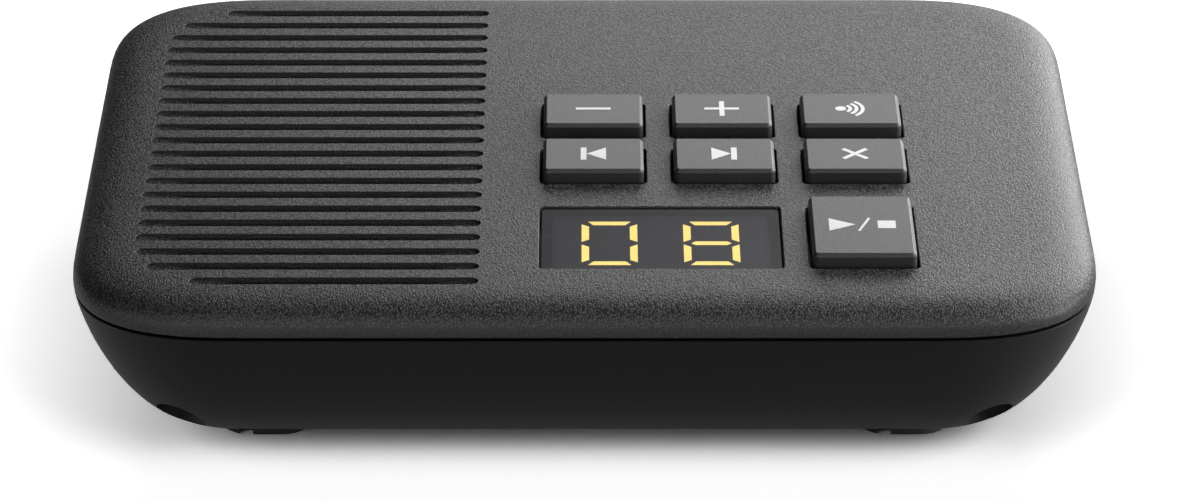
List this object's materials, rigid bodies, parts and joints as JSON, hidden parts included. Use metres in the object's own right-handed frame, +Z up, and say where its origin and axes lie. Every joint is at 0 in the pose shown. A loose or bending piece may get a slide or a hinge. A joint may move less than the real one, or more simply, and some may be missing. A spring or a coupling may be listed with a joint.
{
  "type": "answering machine",
  "caption": "Compact desk answering machine: soft-cornered two-shell case, slotted speaker grille on the left, smoked display window and square push keys.",
  "frame": {"origin": "on the desk, under the middle of the case", "axes": "+X to the user's right, +Y to the back, where the sockets are, +Z up through the keys"},
  "size_m": [0.107, 0.0858, 0.0233],
  "materials": {
    "cover_plastic": "fine leather-like moulded grain, matte anthracite",
    "case_plastic": "smooth satin black",
    "key_plastic": "fine matte grain with printed white symbols",
    "window_plastic": "smoked, polished",
    "display_plastic": "matte black face with pale yellow segments",
    "rubber": "matte",
    "silicone": "matte translucent grey",
    "board": "green solder mask",
    "socket_plastic": "satin",
    "contact_metal": "bright plated",
    "shield_metal": "tinned",
    "steel": "zinc plated",
    "magnet": "nickel plated",
    "copper": "enamelled copper winding",
    "chip_plastic": "moulded epoxy",
    "cone_paper": "pressed black paper",
    "cloth": "thin black dust cloth",
    "foam": "closed-cell foam",
    "red_lead": "wire insulation",
    "black_lead": "wire insulation",
    "capacitor_sleeve": "shrunk sleeve"
  },
  "bodies": {
    "housing": {"top_cover": "cover_plastic", "bottom_case": "case_plastic", "display_window": "window_plastic", "grille_cloth": "cloth", "front_left_foot": "rubber", "front_right_foot": "rubber", "rear_left_foot": "rubber", "rear_right_foot": "rubber", "front_left_case_screw": "steel", "front_right_case_screw": "steel", "rear_left_case_screw": "steel", "rear_right_case_screw": "steel", "key_mat": "silicone", "key_board": "board", "key_board_screw_1": "steel", "key_board_screw_2": "steel", "key_board_screw_3": "steel", "key_board_screw_4": "steel", "display_module": "display_plastic", "main_board": "board", "main_board_screw_1": "steel", "main_board_screw_2": "steel", "main_board_screw_3": "steel", "main_board_screw_4": "steel", "link_header": "chip_plastic", "link_socket": "chip_plastic", "radio_shield": "shield_metal", "processor_chip": "chip_plastic", "memory_chip": "chip_plastic", "capacitor_1": "capacitor_sleeve", "capacitor_2": "capacitor_sleeve", "left_antenna": "contact_metal", "right_antenna": "contact_metal", "line_jack": "socket_plastic", "line_contacts": "contact_metal", "power_jack": "socket_plastic", "power_contacts": "contact_metal", "speaker_frame": "steel", "speaker_yoke": "steel", "speaker_magnet": "magnet", "pole_plate": "steel", "speaker_surround": "rubber", "speaker_gasket": "foam", "speaker_terminals": "board", "red_lead": "red_lead", "black_lead": "black_lead"},
    "volume_down_press": {"volume_down_key": "key_plastic"},
    "volume_up_press": {"volume_up_key": "key_plastic"},
    "paging_press": {"paging_key": "key_plastic"},
    "previous_press": {"previous_key": "key_plastic"},
    "next_press": {"next_key": "key_plastic"},
    "delete_press": {"delete_key": "key_plastic"},
    "play_stop_press": {"play_stop_key": "key_plastic"},
    "cone_assembly": {"speaker_cone": "cone_paper", "dust_cap": "cone_paper", "voice_coil": "copper"}
  },
  "joints": [
    {"name": "volume_down_travel", "type": "slide", "parent": "housing", "child": "volume_down_press", "axis": [0, 0, -1], "range_m": [0, 0.0007], "stiffness_N_per_m": 1900, "deforming": ["key_mat"]},
    {"name": "volume_up_travel", "type": "slide", "parent": "housing", "child": "volume_up_press", "axis": [0, 0, -1], "range_m": [0, 0.0007], "stiffness_N_per_m": 1900, "deforming": ["key_mat"]},
    {"name": "paging_travel", "type": "slide", "parent": "housing", "child": "paging_press", "axis": [0, 0, -1], "range_m": [0, 0.0007], "stiffness_N_per_m": 1900, "deforming": ["key_mat"]},
    {"name": "previous_travel", "type": "slide", "parent": "housing", "child": "previous_press", "axis": [0, 0, -1], "range_m": [0, 0.0007], "stiffness_N_per_m": 1900, "deforming": ["key_mat"]},
    {"name": "next_travel", "type": "slide", "parent": "housing", "child": "next_press", "axis": [0, 0, -1], "range_m": [0, 0.0007], "stiffness_N_per_m": 1900, "deforming": ["key_mat"]},
    {"name": "delete_travel", "type": "slide", "parent": "housing", "child": "delete_press", "axis": [0, 0, -1], "range_m": [0, 0.0007], "stiffness_N_per_m": 1900, "deforming": ["key_mat"]},
    {"name": "play_stop_travel", "type": "slide", "parent": "housing", "child": "play_stop_press", "axis": [0, 0, -1], "range_m": [0, 0.0007], "stiffness_N_per_m": 1900, "deforming": ["key_mat"]},
    {"name": "cone_travel", "type": "slide", "parent": "housing", "child": "cone_assembly", "axis": [0, 0, 1], "range_m": [-0.0004, 0.0004], "stiffness_N_per_m": 2400, "deforming": ["speaker_surround"]}
  ]
}
